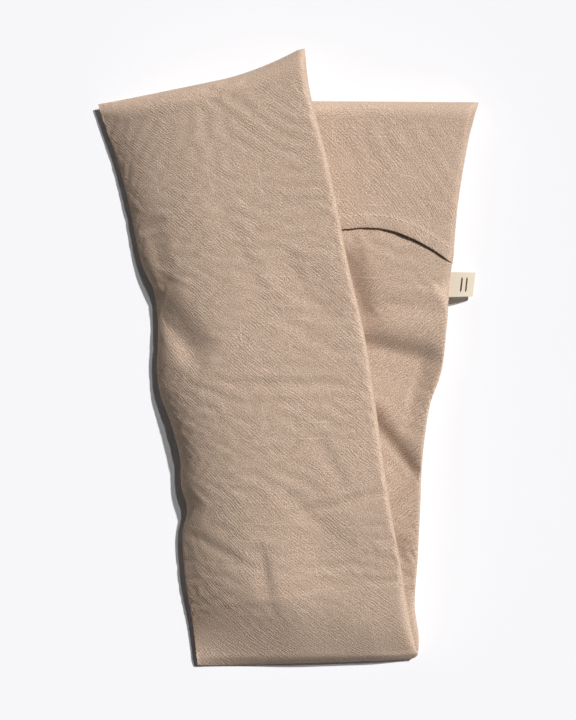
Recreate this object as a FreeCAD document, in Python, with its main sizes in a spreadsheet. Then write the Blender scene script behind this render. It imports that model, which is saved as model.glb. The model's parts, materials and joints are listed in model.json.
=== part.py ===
"""Eye pillow: a long, flat linen cover with an envelope closure and a seed-filled insert,
folded in half so that its upper half lies across its lower half.

Frame: millimetres, +Z up, the underside at Z = 0. +Y runs from the fold towards the open ends,
+X to the right. Every half of the pillow is lofted through cross-sections ("stations") that
stand across its length. A panel's section is a shallow tray, wide at the seam and flat on its
face; the cover, the cotton insert and the seed fill nest in one another by a depth from the
cover's outer face.
"""
import FreeCAD, Part
import os
from collections import namedtuple
from FreeCAD import Vector
import Sketcher

doc = FreeCAD.newDocument("EyePillow")

# ---------------------------------------------------------------------------------------
# Driving dimensions (millimetres and degrees)
# ---------------------------------------------------------------------------------------

SIZES = {
    # cloth and clearances
    "cloth": (0.6, "linen of the cover"),
    "cotton": (0.4, "cotton of the insert's case"),
    "play": (0.15, "clearance between nested layers"),
    "seam_gap": (0.05, "half the gap between two panels at their seam"),
    "edge_spread": (3.0, "sideways step of a layer at the seam for each unit of depth"),
    "shoulder_spread": (0.2, "sideways step of a layer at its shoulder for each unit of depth"),
    "insert_inset": (2.5, "how much narrower the insert is than the cover, each side"),
    # where the fold lies and how the two halves leave it
    "fold_across": (9.6, "X of the fold's middle"),
    "fold_back": (-155.2, "Y of the fold's middle"),
    "fold_angle": (1.9, "turn of the fold line about Z"),
    "fold_half_width": (56.5, "half the pillow's width at the fold"),
    "fold_shoulder": (48.0, "half the flat width at the fold"),
    "fold_height": (10.3, "height of the folded edge"),
    "fold_depth": (4.9, "how deep the turned-over cloth is"),
    "fold_layer": (2.4, "half the thickness of each half beside the fold"),
    "slope_drop": (0.2, "how far the slope starts below the top of the fold"),
    "fold_bevel": (0.9, "bevel of the turned cloth's edges"),
    "insert_at_fold": (2.2, "thickness of the pressed insert inside the fold"),
    "body_gap": (0.3, "clearance between the turned cloth and each half"),
    "flex_gap": (1.6, "clearance where the upper half bends off its slope"),
    # lower half
    "lower_lean": (-6.3, "heading of the lower half, positive to the left"),
    "lower_rise": (57.0, "distance from the fold to full thickness"),
    "lower_flat_end": (262.0, "distance from the fold to the end of the full section"),
    "lower_length": (290.0, "distance from the fold to the end seam"),
    "lower_half_width": (49.0, "half the width of the filled lower half"),
    "lower_shoulder": (33.0, "half the width of its flat top"),
    "lower_below": (7.5, "seam height above the underside"),
    "lower_left": (5.0, "height over the seam where the upper half presses"),
    "lower_right": (9.0, "height over the seam on the free side"),
    "lower_end_width": (55.9, "half the width at the end seam"),
    "lower_end_seam": (4.0, "height of the end seam"),
    "lower_end_angle": (0.6, "turn of the end seam about Z"),
    "lower_insert_seam": (5.0, "seam height where the insert stops"),
    "lower_insert_angle": (-2.1, "turn about Z of the section where the insert stops"),
    "lower_insert_taper": (2.0, "how much narrower that section is than the end seam, each side"),
    # upper half
    "upper_lean": (10.4, "heading of the upper half, positive to the left"),
    "upper_roll": (6.0, "how far its left side hangs down"),
    "upper_pitch": (1.7, "how far its open end hangs down"),
    "upper_bend": (57.0, "distance from the fold to the bend"),
    "upper_bend_seam": (23.65, "height of its seam plane at the bend"),
    "upper_middle": (150.0, "distance from the fold to the middle section"),
    "upper_thin": (270.0, "distance from the fold to where the end starts to thin"),
    "upper_length": (302.5, "distance from the fold to the end seam"),
    "upper_half_width": (52.8, "half the width of the filled upper half"),
    "upper_shoulder": (35.0, "half the width of its flat faces"),
    "upper_layer": (8.25, "half its thickness"),
    "upper_end_width": (55.0, "half the width at the end seam"),
    "upper_end_drop": (6.0, "how far the end seam hangs below the seam plane"),
    "upper_end_turn": (5.2, "extra turn of the end seam about Z"),
    "upper_insert_drop": (4.5, "how far the seam hangs where the insert stops"),
    "upper_insert_turn": (3.64, "extra turn about Z of the section where the insert stops"),
    "upper_insert_taper": (1.0, "how much narrower that section is than the end seam, each side"),
    # thin ends of both halves
    "end_shoulder": (50.0, "half the flat width at an end seam"),
    "end_layer": (1.4, "half the thickness at an end seam"),
    "insert_short": (8.0, "how far the insert stops before the cover's end seam"),
    "insert_end_layer": (2.5, "half the cover's thickness where the insert stops"),
    "insert_shoulder": (46.0, "half the flat width where the insert stops"),
    # envelope closure
    "hem_distance": (221.0, "distance from the fold to the flap's hem"),
    "mouth_distance": (256.0, "distance from the fold to the back panel's hem"),
    "flap_lift": (0.4, "clearance between the back panel and the flap"),
    "lip_left": (2.0, "left side of the flap's free lip, across the lower half"),
    "lip_right": (31.5, "right side of the lip"),
    "lip_length": (32.0, "length of the lip from the hem to its crease"),
    "lip_cutter": (10.0, "size of the block that cuts the lip from the flap"),
    "hem_width": (6.0, "distance of the stitch row from a hem"),
    # sewing thread and side label
    "thread_width": (0.5, "width of a row of stitches"),
    "thread_thick": (0.24, "thickness of a row of stitches"),
    "stitch_clear": (0.05, "clearance under a row of stitches"),
    "stitch_stop": (2.0, "distance of a hem's stitches from the shoulder"),
    "stitch_break": (1.0, "gap between two runs of stitches"),
    "thread_inset": (2.65, "distance of a side seam's thread from the cover's edge"),
    "end_thread_inset": (1.5, "distance of an end seam's thread from the end"),
    "end_thread_stop": (4.5, "distance of an end seam's thread from the side"),
    "label_distance": (200.0, "distance from the fold to the label's middle"),
    "label_length": (14.4, "how far the label sticks out of the seam"),
    "label_width": (13.6, "size of the label along the seam"),
    "label_gap": (1.0, "clearance between the label's hinge line and the cover's edge"),
    "label_thick": (1.1, "thickness of the folded label"),
    "ribbon": (0.4, "thickness of the label's ribbon"),
}

sheet = doc.addObject("Spreadsheet::Sheet", "Sizes")
for row, (alias, (value, meaning)) in enumerate(SIZES.items(), start=1):
    sheet.set(f"A{row}", meaning)
    sheet.set(f"B{row}", str(value))
    sheet.setAlias(f"B{row}", alias)
doc.recompute()


def cell(alias):
    """How an expression names a driving dimension."""
    return f"Sizes.{alias}"


# ---------------------------------------------------------------------------------------
# Places: expressions for the frames that sections and pieces stand in
# ---------------------------------------------------------------------------------------

UPRIGHT = "rotation(vector(1; 0; 0); 90)"


def turn(angle):
    return f"rotation(vector(0; 0; 1); {angle})"


def standing(distance, lean, seam_height, heading):
    """A frame across a half that lies level, at a distance from the fold along its lean."""
    east = f"{cell('fold_across')} - ({distance}) * sin({lean})"
    north = f"{cell('fold_back')} + ({distance}) * cos({lean})"
    return f"placement(vector({east}; {north}; {seam_height}); {turn(heading)} * {UPRIGHT})"


def lower(distance, seam_height=None, heading=None):
    """A frame across the lower half, at its seam's height."""
    return standing(distance, cell("lower_lean"), seam_height or cell("lower_below"),
                    heading or cell("lower_lean"))


def upper(distance, drop="0", extra_turn="0"):
    """A frame across the upper half past its bend, rolled to the left and pitched down."""
    bend = cell("upper_bend")
    lean = cell("upper_lean")
    east = f"{cell('fold_across')} - {bend} * sin({lean})"
    north = f"{cell('fold_back')} + {bend} * cos({lean})"
    tilt = (f"{turn(lean)} * rotation(vector(1; 0; 0); -{cell('upper_pitch')})"
            f" * rotation(vector(0; 1; 0); -{cell('upper_roll')})")
    base = f"placement(vector({east}; {north}; {cell('upper_bend_seam')}); {tilt})"
    step = f"vector(0; ({distance}) - {bend}; -({drop}))"
    return f"{base} * placement({step}; {turn(extra_turn)} * {UPRIGHT})"


# ---------------------------------------------------------------------------------------
# Stations: where the sections stand and how large the cover is there
# ---------------------------------------------------------------------------------------

# frame, half width, half flat width, then the cover's height above the seam at the left and
# right shoulder, and its depth below the seam. All are expressions.
Station = namedtuple("Station", "frame half shoulder left right below")


def even(frame, half, shoulder, layer):
    """A station whose two faces are level and equally far from the seam."""
    return Station(frame, half, shoulder, layer, layer, layer)


beside_fold = f"{cell('fold_depth')} + {cell('body_gap')}"
fold_edge = (cell("fold_half_width"), cell("fold_shoulder"), cell("fold_layer"))


def full_lower(distance):
    """The lower half at full thickness: its top leans to the side that carries the load."""
    return Station(lower(distance), cell("lower_half_width"), cell("lower_shoulder"),
                   cell("lower_left"), cell("lower_right"), cell("lower_below"))


def full_upper(distance):
    return even(upper(distance), cell("upper_half_width"), cell("upper_shoulder"),
                cell("upper_layer"))


lower_start = even(lower(beside_fold, cell("fold_layer"), cell("fold_angle")), *fold_edge)
lower_end = even(lower(cell("lower_length"), cell("lower_end_seam"), cell("lower_end_angle")),
                 cell("lower_end_width"), cell("end_shoulder"), cell("end_layer"))
lower_insert_end = even(lower(f"{cell('lower_length')} - {cell('insert_short')}",
                              cell("lower_insert_seam"), cell("lower_insert_angle")),
                        f"{cell('lower_end_width')} - {cell('lower_insert_taper')}",
                        cell("insert_shoulder"), cell("insert_end_layer"))
lower_body = [lower_start, full_lower(cell("lower_rise")), full_lower(cell("lower_flat_end"))]

slope_start = even(standing(beside_fold, cell("upper_lean"),
                            f"{cell('fold_height')} - {cell('fold_layer')}"
                            f" - {cell('slope_drop')}",
                            cell("fold_angle")), *fold_edge)
slope_end = full_upper(f"{cell('upper_bend')} - {cell('flex_gap')}")
slope_body = [slope_start, slope_end]

upper_end = even(upper(cell("upper_length"), cell("upper_end_drop"), cell("upper_end_turn")),
                 cell("upper_end_width"), cell("end_shoulder"), cell("end_layer"))
upper_insert_end = even(upper(f"{cell('upper_length')} - {cell('insert_short')}",
                              cell("upper_insert_drop"), cell("upper_insert_turn")),
                        f"{cell('upper_end_width')} - {cell('upper_insert_taper')}",
                        cell("insert_shoulder"), cell("insert_end_layer"))
upper_body = [full_upper(cell("upper_bend")), full_upper(cell("upper_middle")),
              full_upper(cell("upper_thin"))]

# Depths below the cover's outer face
COVER_OUT = "0"
COVER_IN = cell("cloth")
INSERT_OUT = f"({cell('cloth')} + {cell('play')})"
INSERT_IN = f"({cell('cloth')} + {cell('play')} + {cell('cotton')})"
FILL_OUT = f"({cell('cloth')} + 2 * {cell('play')} + {cell('cotton')})"
INSERT_TURN = f"({INSERT_OUT} + {cell('insert_at_fold')})"
BACK_TURN = f"({INSERT_TURN} + {cell('play')})"
FLAP_IN = f"(-{cell('flap_lift')})"
FLAP_OUT = f"(-{cell('flap_lift')} - {cell('cloth')})"


# ---------------------------------------------------------------------------------------
# Sketches and lofts
# ---------------------------------------------------------------------------------------

def outline_sketch(name, frame, points):
    """A closed polygon whose corners are pairs of expressions, standing in a frame if given."""
    sketch = doc.addObject("Sketcher::SketchObject", name)
    numbers = [tuple(evaluate(value) for value in point) for point in points]
    count = len(points)
    for index, start in enumerate(numbers):
        end = numbers[(index + 1) % count]
        sketch.addGeometry(Part.LineSegment(Vector(*start, 0), Vector(*end, 0)), False)
    for index in range(count):
        sketch.addConstraint(Sketcher.Constraint("Coincident", index, 2, (index + 1) % count, 1))
    for index, (across, up) in enumerate(points):
        for kind, value, number in (("DistanceX", across, numbers[index][0]),
                                    ("DistanceY", up, numbers[index][1])):
            which = sketch.addConstraint(Sketcher.Constraint(kind, -1, 1, index, 1, number))
            sketch.setExpression(f"Constraints[{which}]", value)
    if frame:
        sketch.setExpression("Placement", frame)
    return sketch


def evaluate(expression):
    """The number that an expression of driving dimensions gives now."""
    return float(sheet.evalExpression(expression.replace("Sizes.", "")))


def corner(station, side, depth):
    """Seam corner and shoulder corner of one side of a section, at a depth from its face."""
    sign = "-" if side == "left" else ""
    half = f"{sign}({station.half} - {cell('edge_spread')} * {depth})"
    shoulder = f"{sign}({station.shoulder} - {cell('shoulder_spread')} * {depth})"
    return half, shoulder


def tray(station, facing, outer, inner):
    """Corners of a panel's section between two depths, facing up or down from the seam."""
    sign = "" if facing == "up" else "-"
    heights = (station.left, station.right) if facing == "up" else (station.below,) * 2
    gap = f"{sign}{cell('seam_gap')}"
    rows = []
    for depth in (outer, inner):
        left_half, left_shoulder = corner(station, "left", depth)
        right_half, right_shoulder = corner(station, "right", depth)
        rows.append([(left_half, gap),
                     (left_shoulder, f"{sign}({heights[0]} - {depth})"),
                     (right_shoulder, f"{sign}({heights[1]} - {depth})"),
                     (right_half, gap)])
    return rows[0] + rows[1][::-1]


def core(station, depth):
    """Corners of the fill's section at a depth."""
    left_half, left_shoulder = corner(station, "left", depth)
    right_half, right_shoulder = corner(station, "right", depth)
    floor = f"-({station.below} - {depth})"
    return [(left_half, "0"),
            (left_shoulder, f"{station.left} - {depth}"),
            (right_shoulder, f"{station.right} - {depth}"),
            (right_half, "0"),
            (right_shoulder, floor),
            (left_shoulder, floor)]


def loft(name, sections):
    """A solid through sections, each a frame and its corners."""
    sketches = [outline_sketch(f"{name}_section_{number}", frame, points)
                for number, (frame, points) in enumerate(sections, start=1)]
    solid = doc.addObject("Part::Loft", name)
    solid.Label = name
    solid.Sections = sketches
    solid.Solid = True
    solid.Ruled = True
    return solid


def panel(name, stations, facing, outer=COVER_OUT, inner=COVER_IN):
    return loft(name, [(each.frame, tray(each, facing, outer, inner)) for each in stations])


def narrower(station):
    """The same station for the insert, which is narrower than the cover."""
    return station._replace(half=f"({station.half} - {cell('insert_inset')})")


def insert_and_fill(suffix, stations, facing_front):
    """The cotton case's two panels and the seeds between them."""
    inside = [narrower(each) for each in stations]
    facing_back = "down" if facing_front == "up" else "up"
    front = panel(f"insert_front_{suffix}", inside, facing_front, INSERT_OUT, INSERT_IN)
    back = panel(f"insert_back_{suffix}", inside, facing_back, INSERT_OUT, INSERT_IN)
    fill = loft(f"seed_fill_{suffix}", [(each.frame, core(each, FILL_OUT)) for each in inside])
    return [front, back, fill]


def side_seams(suffix, stations):
    """The thread that closes each long side, along the edge inside the cover."""
    threads = []
    for side, sign in (("left", "-"), ("right", "")):
        sections = []
        for each in stations:
            near = f"{sign}({each.half} - {cell('thread_inset')} - {cell('thread_width')} / 2)"
            far = f"{sign}({each.half} - {cell('thread_inset')} + {cell('thread_width')} / 2)"
            half_thick = f"{cell('thread_thick')} / 2"
            sections.append((each.frame, [(near, f"-{half_thick}"), (far, f"-{half_thick}"),
                                          (far, half_thick), (near, half_thick)]))
        threads.append(loft(f"side_seam_{side}_{suffix}", sections))
    return threads


def bar(name, frame, length, along, up, left="0"):
    """A straight row of stitches across a frame: along is its distance towards the open end."""
    row = doc.addObject("Part::Box", name)
    row.Label = name
    row.setExpression("Length", length)
    row.setExpression("Width", cell("thread_thick"))
    row.setExpression("Height", cell("thread_width"))
    row.setExpression("Placement", f"{frame} * placement(vector({left}; {up}; -({along}));"
                                   " rotation(vector(0; 0; 1); 0))")
    return row


def end_seam(suffix, station):
    """The thread that closes an open end, just inside it."""
    half = f"({station.half} - {cell('end_thread_stop')})"
    return bar(f"end_seam_{suffix}", station.frame, f"2 * {half}",
               f"-{cell('end_thread_inset')}", f"-{cell('thread_thick')} / 2", f"-{half}")


# ---------------------------------------------------------------------------------------
# Lower half: front side down, back side with the envelope closure up
# ---------------------------------------------------------------------------------------

lower_cover = lower_body + [lower_end]
lower_inside = lower_body + [lower_insert_end]

pieces = [panel("front_panel_lower", lower_cover, "down")]
pieces.append(panel("back_panel_lower", lower_body[:2] + [full_lower(cell("mouth_distance"))], "up"))
pieces += insert_and_fill("lower", lower_inside, "down")
pieces += side_seams("lower", lower_inside)
pieces.append(end_seam("lower", lower_end))

# The top of the lower half leans to the left: rows of stitches lie along it.
top_lean = (f"atan(({cell('lower_right')} - {cell('lower_left')})"
            f" / (2 * {cell('lower_shoulder')}))")
top_height = f"({cell('lower_right')} + {cell('lower_left')}) / 2"


def on_top(distance):
    """A frame on the lower half's top face, with its first axis along that face."""
    return (f"{lower(distance)} * placement(vector(0; {top_height}; 0);"
            f" {turn(top_lean)})")


hem_run = f"2 * ({cell('lower_shoulder')} - {cell('stitch_stop')})"
pieces.append(bar("back_hem_stitch", on_top(f"{cell('mouth_distance')} - {cell('hem_width')}"),
                  hem_run, "0", cell("stitch_clear"), f"-{hem_run} / 2"))

# The flap lies over the back panel's hem, then runs level with it to the end seam.
flap_over = [each._replace(half=f"({each.half} - {cell('cloth')})")
             for each in (full_lower(cell("hem_distance")), full_lower(cell("lower_flat_end")))]
flap_sections = [(each.frame, tray(each, "up", FLAP_OUT, FLAP_IN)) for each in flap_over]
flap_sections.append((lower_end.frame, tray(lower_end, "up", COVER_OUT, COVER_IN)))
flap_cloth = loft("flap_cloth", flap_sections)


def lip_block(name, grow):
    """A block over the flap's free lip, grown sideways and past the crease by a clearance."""
    block = doc.addObject("Part::Box", name)
    block.setExpression("Length", f"{cell('lip_right')} - {cell('lip_left')} + 2 * ({grow})")
    block.setExpression("Width", cell("lip_cutter"))
    block.setExpression("Height", f"{cell('lip_length')} + {cell('lip_cutter')} + ({grow})")
    crease = f"{cell('hem_distance')} + {cell('lip_length')}"
    block.setExpression("Placement", f"{on_top(crease)} * placement(vector({cell('lip_left')}"
                                     f" - ({grow}); -{cell('lip_cutter')} / 2; -({grow}));"
                                     " rotation(vector(0; 0; 1); 0))")
    return block


lip_window = lip_block("lip_window", cell("body_gap"))
lip_tool = lip_block("lip_tool", "0")

flap = doc.addObject("Part::Cut", "envelope_flap")
flap.Base = flap_cloth
flap.Tool = lip_window
flap.Label = "envelope_flap"
pieces.append(flap)

lip = doc.addObject("Part::Common", "flap_lip")
lip.Base = flap_cloth
lip.Tool = lip_tool
lip.Label = "flap_lip"
pieces.append(lip)

# The hem's row of stitches lies on the flap, in two runs: one on its lip, one to the left of it.
hem_row = on_top(f"{cell('hem_distance')} + {cell('hem_width')}")
hem_up = f"{cell('flap_lift')} + {cell('cloth')} + {cell('stitch_clear')}"
pieces.append(bar("lip_hem_stitch", hem_row,
                  f"{cell('lip_right')} - {cell('lip_left')} - 2 * {cell('body_gap')}", "0",
                  hem_up, f"{cell('lip_left')} + {cell('body_gap')}"))
pieces.append(bar("flap_hem_stitch", hem_row,
                  f"{cell('lower_shoulder')} + {cell('lip_left')} - {cell('stitch_break')}", "0",
                  hem_up, f"-{cell('lower_shoulder')}"))

# ---------------------------------------------------------------------------------------
# Fold: the cloth that turns over from one half to the other
# ---------------------------------------------------------------------------------------


def turned_cloth(name, outer, inner):
    """A layer that turns over at the fold: a squared U in section, run along the fold."""
    body = doc.addObject("PartDesign::Body", name)
    body.Label = name
    side = next(each for each in body.Origin.OriginFeatures if each.Role == "YZ_Plane")
    deep, tall, bevel = cell("fold_depth"), cell("fold_height"), cell("fold_bevel")

    def bend(depth):
        near, top = f"{depth} + {bevel}", f"{tall} - {depth}"
        return [(deep, depth), (near, depth), (depth, near),
                (depth, f"{top} - {bevel}"), (near, top), (deep, top)]

    points = bend(outer) + bend(inner)[::-1]
    sketch = outline_sketch(f"{name}_section", None, points)
    body.addObject(sketch)
    sketch.AttachmentSupport = [(side, "")]
    sketch.MapMode = "FlatFace"
    pad = body.newObject("PartDesign::Pad", f"{name}_run")
    pad.Profile = sketch
    pad.Midplane = True
    pad.setExpression("Length", f"2 * {cell('fold_half_width')}")
    body.setExpression("Placement", f"placement(vector({cell('fold_across')};"
                                    f" {cell('fold_back')}; 0); {turn(cell('fold_angle'))})")
    return body


pieces.append(turned_cloth("front_panel_fold", "0", cell("cloth")))
pieces.append(turned_cloth("insert_fold", INSERT_OUT, INSERT_TURN))
pieces.append(turned_cloth("back_panel_fold", BACK_TURN, f"({BACK_TURN} + {cell('cloth')})"))

# ---------------------------------------------------------------------------------------
# Upper half: the slope that rises off the fold, then the long half that lies on the lower one
# ---------------------------------------------------------------------------------------

for suffix, stations in (("slope", slope_body), ("upper", upper_body)):
    ends = suffix == "upper"
    pieces.append(panel(f"front_panel_{suffix}", stations + [upper_end] * ends, "up"))
    pieces.append(panel(f"back_panel_{suffix}", stations + [upper_end] * ends, "down"))
    pieces += insert_and_fill(suffix, stations + [upper_insert_end] * ends, "up")
    pieces += side_seams(suffix, stations + [upper_insert_end] * ends)
pieces.append(end_seam("upper", upper_end))

# ---------------------------------------------------------------------------------------
# Side label: a ribbon folded in two, its ends caught in the lower half's right seam
# ---------------------------------------------------------------------------------------

label = doc.addObject("PartDesign::Body", "side_label")
label.Label = "side_label"
label_plane = next(each for each in label.Origin.OriginFeatures if each.Role == "XZ_Plane")
thick, ply, reach = cell("label_thick"), cell("ribbon"), cell("label_length")
label_outline = [("0", f"-{thick} / 2"), (f"{reach} - {ply}", f"-{thick} / 2"),
                 (reach, f"-{ply} / 2"), (reach, f"{ply} / 2"),
                 (f"{reach} - {ply}", f"{thick} / 2"), ("0", f"{thick} / 2"),
                 ("0", f"{thick} / 2 - {ply}"), (f"{reach} - 2 * {ply}", f"{thick} / 2 - {ply}"),
                 (f"{reach} - 2 * {ply}", f"-{thick} / 2 + {ply}"), ("0", f"-{thick} / 2 + {ply}")]
label_sketch = outline_sketch("side_label_section", None, label_outline)
label.addObject(label_sketch)
label_sketch.AttachmentSupport = [(label_plane, "")]
label_sketch.MapMode = "FlatFace"
label_run = label.newObject("PartDesign::Pad", "side_label_run")
label_run.Profile = label_sketch
label_run.Midplane = True
label_run.setExpression("Length", cell("label_width"))
label_base = standing(cell("label_distance"), cell("lower_lean"), cell("lower_below"),
                      cell("lower_lean"))
label.setExpression("Placement", f"{label_base} * placement(vector({cell('lower_half_width')}"
                                 f" + {cell('label_gap')}; 0; 0); rotation(vector(1; 0; 0); -90))")
pieces.append(label)

# ---------------------------------------------------------------------------------------
# Check and write
# ---------------------------------------------------------------------------------------

doc.recompute()

for item in doc.Objects:
    if "Invalid" in item.State or "Error" in item.State:
        raise RuntimeError(f"{item.Name} is {item.State}")
for piece in pieces:
    if piece.Shape.isNull() or not piece.Shape.isValid() or piece.Shape.Volume <= 0:
        raise RuntimeError(f"{piece.Label} has no valid solid")

os.makedirs("parts", exist_ok=True)
for piece in pieces:
    piece.Shape.exportStep(os.path.join("parts", f"{piece.Label}.step"))
    box = piece.Shape.BoundBox
    print(f"{piece.Label:24s} {piece.Shape.Volume:9.1f} mm3"
          f"  Z {box.ZMin:6.2f} to {box.ZMax:6.2f}  solids {len(piece.Shape.Solids)}")
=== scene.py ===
"""Eye pillow, looks: a linen cover over a seed-filled insert, folded in half, seen from above.

The pillow is one long tube of cloth. It is worked out as rings of points across its length,
from the lower half's far end, round the fold, to the upper half's far end. Each ring has a
front row and a back row that meet at the two side seams. A cloth simulation slackens the whole
tube, and it is then cut into the cover's panels, at the places where the pillow bends. Lengths
are in millimetres until a mesh is made from them.
"""
import json
import math

import bpy
import numpy as np
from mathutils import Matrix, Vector


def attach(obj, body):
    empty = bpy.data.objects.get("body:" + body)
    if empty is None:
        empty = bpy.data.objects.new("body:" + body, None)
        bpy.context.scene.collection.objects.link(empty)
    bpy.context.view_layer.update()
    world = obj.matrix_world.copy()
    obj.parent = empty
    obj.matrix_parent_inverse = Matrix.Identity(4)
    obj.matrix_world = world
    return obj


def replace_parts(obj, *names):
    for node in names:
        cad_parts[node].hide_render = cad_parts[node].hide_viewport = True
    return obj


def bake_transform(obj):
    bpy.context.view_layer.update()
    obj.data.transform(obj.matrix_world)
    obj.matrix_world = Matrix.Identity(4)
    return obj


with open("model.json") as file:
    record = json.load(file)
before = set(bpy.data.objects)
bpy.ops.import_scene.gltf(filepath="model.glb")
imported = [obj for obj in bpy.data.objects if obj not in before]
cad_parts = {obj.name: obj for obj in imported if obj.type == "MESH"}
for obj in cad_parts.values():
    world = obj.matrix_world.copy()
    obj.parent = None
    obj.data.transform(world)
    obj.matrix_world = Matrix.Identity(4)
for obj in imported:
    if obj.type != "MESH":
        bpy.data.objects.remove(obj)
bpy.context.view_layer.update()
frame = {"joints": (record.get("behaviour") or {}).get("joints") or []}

MM = 0.001
JOINTS = {joint["name"]: joint for joint in frame["joints"]}


def place_of(joint):
    return np.array(JOINTS[joint]["pos_m"]) / MM


def axis_of(joint):
    return np.array(JOINTS[joint]["axis"], float)


# ---------------------------------------------------------------------------------------
# Driving dimensions of the pillow, millimetres and degrees
# ---------------------------------------------------------------------------------------

# The fold: the cloth goes round it at this radius, with a small gap between the halves inside
FOLD_MIDDLE = place_of("fold_lower")
FOLD_RADIUS = place_of("fold_upper")[2] / 2
FOLD_ANGLE = math.degrees(math.atan2(axis_of("fold_lower")[1], axis_of("fold_lower")[0]))
FOLD_HALF_WIDTH = 56.4
FOLD_GAP = 0.35
# How far the fold's right corner is rounded off
FOLD_CORNER = 2.6
# Where the side seams lie at the fold, as shares of its half height and of its radius
FOLD_SEAM_SHARE = 0.5
FOLD_SEAM_REACH = 0.85
# How steeply the cloth already rises where it leaves the fold
FOLD_LEAN = 0.45

# The two halves: their angles seen from above, and their lengths from the fold
LOWER_LEAN = -6.3
LOWER_LENGTH = 288.6
LOWER_END_TURN = 5.9
UPPER_LEAN = 10.4
UPPER_LENGTH = 300.2
# The upper half's far end runs out into a tip on its right
TIP_REACH = 8.0
# Heights of the underside and of the halves' top faces, and the upper half's crown above that
UNDERSIDE = 0.3
LOWER_LEVEL = 12.6
UPPER_LEVEL = 20.6
CROWN = 6.5

LABEL_DISTANCE, LABEL_WIDTH = 199.2, 12.8
LABEL_HEIGHT = place_of("label_flick")[2]

# Points of the cloth: columns across it, rings along it, and how many times finer it ends up
COLUMNS = 48
RING_STEP = 2.6
FOLD_RINGS = 9
FINER = 2


def smooth(t):
    """0 below 0, 1 above 1, with an even start and stop between."""
    t = np.clip(t, 0.0, 1.0)
    return t * t * (3 - 2 * t)


def lower_of(a, b, blur):
    """The lower of two heights, rounded where they cross."""
    return -blur * np.logaddexp(-a / blur, -b / blur)


def curve(points):
    """A smooth function through (x, y) points."""
    xs, ys = (np.array(row, float) for row in zip(*points))
    slopes = np.gradient(ys, xs)

    def value(x):
        x = np.clip(np.asarray(x, float), xs[0], xs[-1])
        i = np.clip(np.searchsorted(xs, x) - 1, 0, len(xs) - 2)
        run = xs[i + 1] - xs[i]
        t = (x - xs[i]) / run
        return ((2 * t**3 - 3 * t**2 + 1) * ys[i] + (t**3 - 2 * t**2 + t) * run * slopes[i]
                + (3 * t**2 - 2 * t**3) * ys[i + 1] + (t**3 - t**2) * run * slopes[i + 1])
    return value


# Side edges: (distance from the fold, distance from the half's middle line)
UPPER_RIGHT = curve([(0, 56.5), (15, 55.7), (75, 55.1), (125, 57.0), (151, 57.9), (200, 56.2),
                     (250, 55.6), (283, 53.4), (301, 54.8)])
UPPER_LEFT = curve([(0, -56.3), (22, -54.5), (60, -53.1), (78, -50.4), (89, -46.4),
                    (101, -47.1), (114, -45.3), (133, -46.6), (152, -49.3), (164, -48.1),
                    (176, -45.4), (190, -43.2), (201, -42.9), (214, -46.0), (245, -47.3),
                    (270, -49.3), (290, -52.4), (300, -53.8)])
LOWER_RIGHT = curve([(0, 56.5), (11, 55.6), (30, 51.2), (61, 49.2), (85, 47.6), (122, 46.0),
                     (140, 47.2), (153, 50.3), (180, 50.9), (208, 50.4), (246, 49.8),
                     (270, 51.8), (289, 55.6)])
LOWER_LEFT = curve([(0, -56.5), (30, -52.5), (70, -49.5), (120, -48.8), (170, -50.2),
                    (215, -49.5), (255, -50.5), (289, -55.2)])


def rotate(angle):
    a = math.radians(angle)
    return np.array([math.cos(a), math.sin(a)])


def fan(v, lean, end_turn, length):
    """How far a ring turns from square across its half: to lie along the fold, or the end."""
    return (FOLD_ANGLE - lean) * (1 - smooth(v / 70)) + end_turn * smooth((v - length + 60) / 60)


def plan(v, lateral, lean, end_turn, length):
    """Where a point of a half lies seen from above, from its distances along and across."""
    along, across = rotate(lean + 90), rotate(lean)
    angle = np.radians(fan(v, lean, end_turn, length))
    run = v + lateral * np.sin(angle)
    side = lateral * np.cos(angle)
    return FOLD_MIDDLE[:2] + run[..., None] * along + side[..., None] * across


def lower_coordinates(xy):
    """Distances along and across the lower half of places seen from above."""
    offset = xy - FOLD_MIDDLE[:2]
    return offset @ rotate(LOWER_LEAN + 90), offset @ rotate(LOWER_LEAN)


# ---------------------------------------------------------------------------------------
# Heights
# ---------------------------------------------------------------------------------------

ROUNDING = 0.75
END_POWER = 2.4


def side_profile(q, left, right):
    """How full the pillow is across its width, from 0 at a seam to 1: a high power is tight."""
    return (1 - np.abs(q) ** np.where(q < 0, left, right)) ** ROUNDING


def end_profile(distance, width):
    """How full it is near an end seam."""
    t = np.clip(1 - distance / width, 0, 1)
    return (1 - t**END_POWER) ** ROUNDING


def valley(xy, start, end, depth, left, right):
    """A crease between two places: its depth, and its widths to the left and right."""
    start, end = np.array(start, float), np.array(end, float)
    run = end - start
    length = np.linalg.norm(run)
    run /= length
    offset = xy - start
    along = offset @ run
    across = offset @ np.array([-run[1], run[0]])
    past = np.maximum(np.maximum(-along, along - length), 0)
    width = np.where(across > 0, left, right)
    return depth * np.exp(-((across / width) ** 2) - (past / (0.9 * min(left, right) + 2)) ** 2)


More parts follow.
